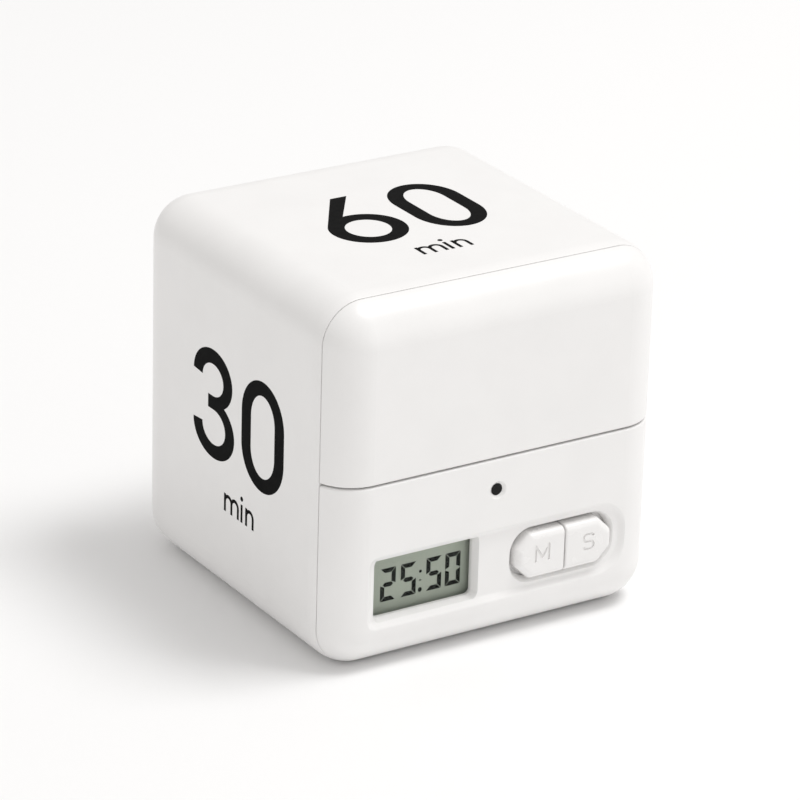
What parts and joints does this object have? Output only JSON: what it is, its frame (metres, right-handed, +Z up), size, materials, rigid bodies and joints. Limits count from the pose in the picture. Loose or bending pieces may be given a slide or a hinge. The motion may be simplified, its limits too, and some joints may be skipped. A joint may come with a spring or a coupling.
{
  "type": "cube kitchen timer",
  "caption": "White rounded cube countdown timer with minute numerals on its faces, a small display, two keys, a sliding battery door and a ball tilt sensor.",
  "frame": {"origin": "centre of the flat bottom face the timer stands on", "axes": "+X to the right seen from the front, -Y out of the front face with display and keys, +Z up"},
  "size_m": [0.062, 0.0625, 0.062],
  "materials": {
    "case_white": "satin-gloss moulded ABS",
    "key_white": "satin-gloss moulded ABS",
    "tray_white": "matt moulded ABS",
    "numeral_ink": "pad-printed ink",
    "holder_black": "matt moulded ABS",
    "polariser": "anti-glare film",
    "display_glass": "polished",
    "reflector": "grey-green reflective film",
    "zebra_rubber": "matt silicone",
    "board_green": "solder mask",
    "switch_plastic": "moulded nylon",
    "plated_steel": "tin plated",
    "knob_grey": "moulded ABS",
    "gasket_foam": "foam",
    "epoxy_black": "cast epoxy",
    "component_tan": "fired ceramic",
    "contact_gold": "gold flash",
    "contact_nickel": "nickel plated spring steel",
    "cell_jacket": "printed film over steel",
    "lead_red": "PVC",
    "lead_black": "PVC",
    "lead_grey": "PVC",
    "screw_steel": "zinc plated"
  },
  "bodies": {
    "case": {"body_shell": "case_white", "front_panel": "case_white", "battery_tray": "tray_white", "display_holder": "holder_black", "display_polariser": "polariser", "display_front_glass": "display_glass", "display_rear_glass": "display_glass", "display_reflector": "reflector", "zebra_connector": "zebra_rubber", "pcb": "board_green", "switch_board": "board_green", "m_switch_base": "switch_plastic", "s_switch_base": "switch_plastic", "m_switch_cover": "plated_steel", "s_switch_cover": "plated_steel", "switch_can": "plated_steel", "sounder": "switch_plastic", "sounder_gasket": "gasket_foam", "chip_blob": "epoxy_black", "crystal": "plated_steel", "board_components": "component_tan", "tilt_sensor_case": "holder_black", "tilt_sensor_lid": "holder_black", "tilt_sensor_contacts": "contact_gold", "cell_upper": "cell_jacket", "cell_lower": "cell_jacket", "link_contact": "contact_nickel", "positive_contact": "contact_nickel", "negative_contact": "contact_nickel", "contact_springs": "contact_nickel", "battery_lead_red": "lead_red", "battery_lead_black": "lead_black", "switch_leads": "lead_grey", "pcb_screws": "screw_steel", "panel_screws": "screw_steel", "tray_screws": "screw_steel", "switch_screws": "screw_steel"},
    "battery_door": {"battery_door": "case_white"},
    "m_key": {"m_key": "key_white", "m_switch_plunger": "switch_plastic"},
    "s_key": {"s_key": "key_white", "s_switch_plunger": "switch_plastic"},
    "power_knob": {"power_knob": "knob_grey", "power_slider": "switch_plastic"},
    "tilt_ball": {"tilt_sensor_ball": "plated_steel"}
  },
  "joints": [
    {"name": "battery_door_slide", "type": "slide", "parent": "case", "child": "battery_door", "axis": [0, 0, 1], "range_m": [0, 0.034]},
    {"name": "m_key_press", "type": "slide", "parent": "case", "child": "m_key", "axis": [0, 1, 0], "range_m": [0, 0.0003], "stiffness_N_per_m": 1500, "springref_m": -0.0004},
    {"name": "s_key_press", "type": "slide", "parent": "case", "child": "s_key", "axis": [0, 1, 0], "range_m": [0, 0.0003], "stiffness_N_per_m": 1500, "springref_m": -0.0004},
    {"name": "power_switch_slide", "type": "slide", "parent": "case", "child": "power_knob", "axis": [1, 0, 0], "range_m": [0, 0.004]},
    {"name": "tilt_ball_roll", "type": "slide", "parent": "case", "child": "tilt_ball", "axis": [0, 0, 1], "range_m": [0, 0.0041]}
  ]
}
